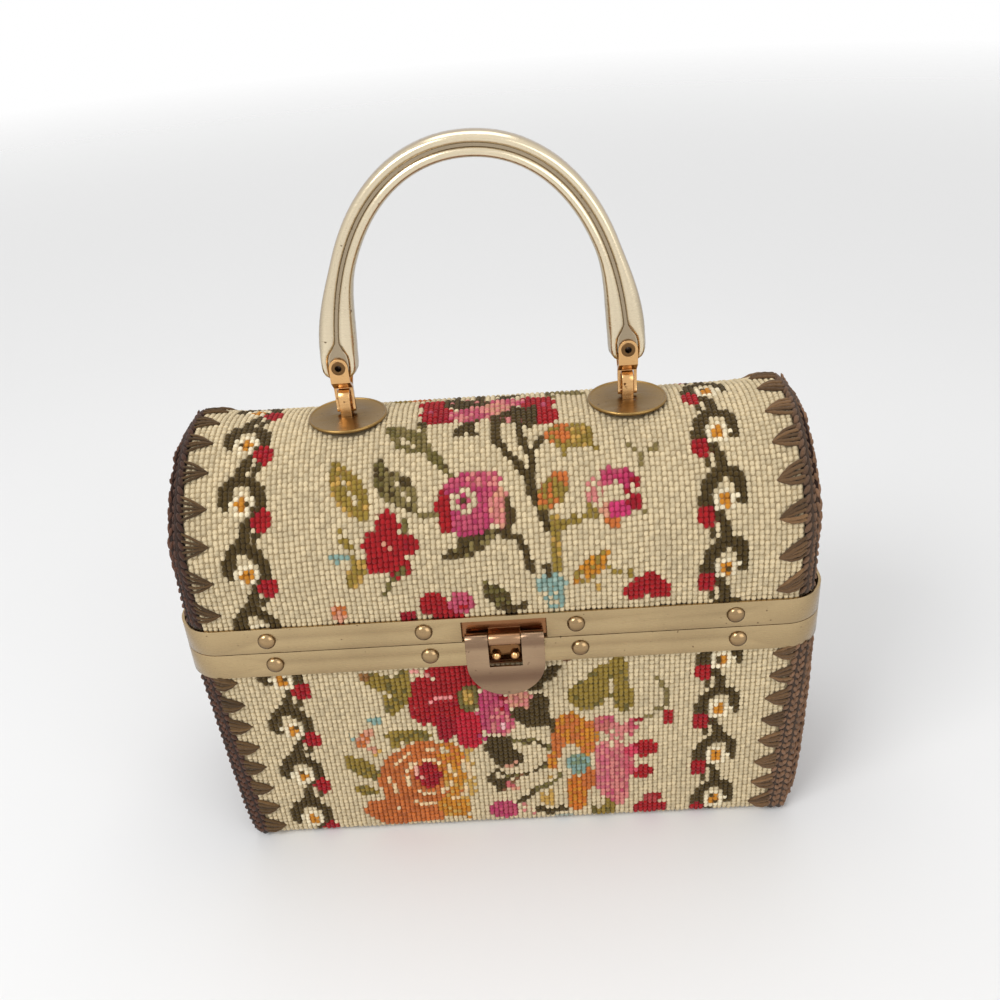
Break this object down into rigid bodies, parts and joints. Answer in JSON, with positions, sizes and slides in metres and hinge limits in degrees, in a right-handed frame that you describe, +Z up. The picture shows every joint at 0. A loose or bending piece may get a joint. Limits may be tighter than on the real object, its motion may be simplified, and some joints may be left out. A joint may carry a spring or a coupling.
{
  "type": "handbag",
  "caption": "Small barrel-lid handbag: floral tapestry over a board box, crocheted ends, riveted brass frame with a flap clasp and a ridged metal arch handle.",
  "frame": {"origin": "on the table under the middle of the bag, at the centre of its bounding box", "axes": "+X to the right of the front, +Y to the back, +Z up; the front with the clasp faces -Y"},
  "size_m": [0.24, 0.1075, 0.272],
  "materials": {
    "cream_wool": "matt wool stitches",
    "wool_red": "matt wool stitches",
    "wool_pink": "matt wool stitches",
    "wool_gold": "matt wool stitches",
    "wool_olive": "matt wool stitches",
    "wool_vine": "matt wool stitches",
    "wool_blue": "matt wool stitches",
    "brown_yarn": "matt crochet yarn",
    "board": "plain pressed board",
    "lining": "plain cotton",
    "gilt_band": "satin, slightly tarnished",
    "gilt_bright": "polished",
    "copper_gold": "polished, worn warm",
    "handle_gold": "bright champagne gold",
    "old_brass": "aged"
  },
  "bodies": {
    "base": {"base_shell": "board", "base_lining": "lining", "base_tapestry": "cream_wool", "base_end_left": "brown_yarn", "base_end_right": "brown_yarn", "base_edge_left": "brown_yarn", "base_edge_right": "brown_yarn", "base_frame": "gilt_band", "base_rivets": "old_brass", "catch_plate": "old_brass", "hinge_leaves_base": "gilt_band", "hinge_pins": "old_brass", "base_wool_red": "wool_red", "base_wool_pink": "wool_pink", "base_wool_gold": "wool_gold", "base_wool_olive": "wool_olive", "base_wool_vine": "wool_vine", "base_wool_blue": "wool_blue"},
    "lid": {"lid_shell": "board", "lid_lining": "lining", "lid_tapestry": "cream_wool", "lid_end_left": "brown_yarn", "lid_end_right": "brown_yarn", "lid_edge_left": "brown_yarn", "lid_edge_right": "brown_yarn", "lid_frame": "gilt_band", "lid_rivets": "old_brass", "hinge_leaves_lid": "gilt_band", "lid_wool_red": "wool_red", "lid_wool_pink": "wool_pink", "lid_wool_gold": "wool_gold", "lid_wool_olive": "wool_olive", "lid_wool_vine": "wool_vine", "lid_wool_blue": "wool_blue", "clasp_bracket": "old_brass", "clasp_pin": "old_brass", "handle_disc_left": "old_brass", "handle_disc_right": "old_brass", "handle_loop_left": "copper_gold", "handle_loop_right": "copper_gold", "loop_washer_left": "old_brass", "loop_washer_right": "old_brass"},
    "clasp_flap": {"clasp_flap": "gilt_bright"},
    "handle": {"handle_arch": "handle_gold", "handle_bracket_left": "copper_gold", "handle_bracket_right": "copper_gold", "handle_rivet_left": "copper_gold", "handle_rivet_right": "copper_gold"}
  },
  "joints": [
    {"name": "lid_hinge", "type": "hinge", "parent": "base", "child": "lid", "pos_m": [0, 0.0516, 0.1], "axis": [-1, 0, 0], "range_deg": [0, 110]},
    {"name": "clasp_hinge", "type": "hinge", "parent": "lid", "child": "clasp_flap", "pos_m": [0.0015, -0.0512, 0.1025], "axis": [-1, 0, 0], "range_deg": [0, 150]},
    {"name": "handle_swing", "type": "hinge", "parent": "lid", "child": "handle", "pos_m": [0, 0, 0.175], "axis": [1, 0, 0], "range_deg": [-75, 75]}
  ]
}
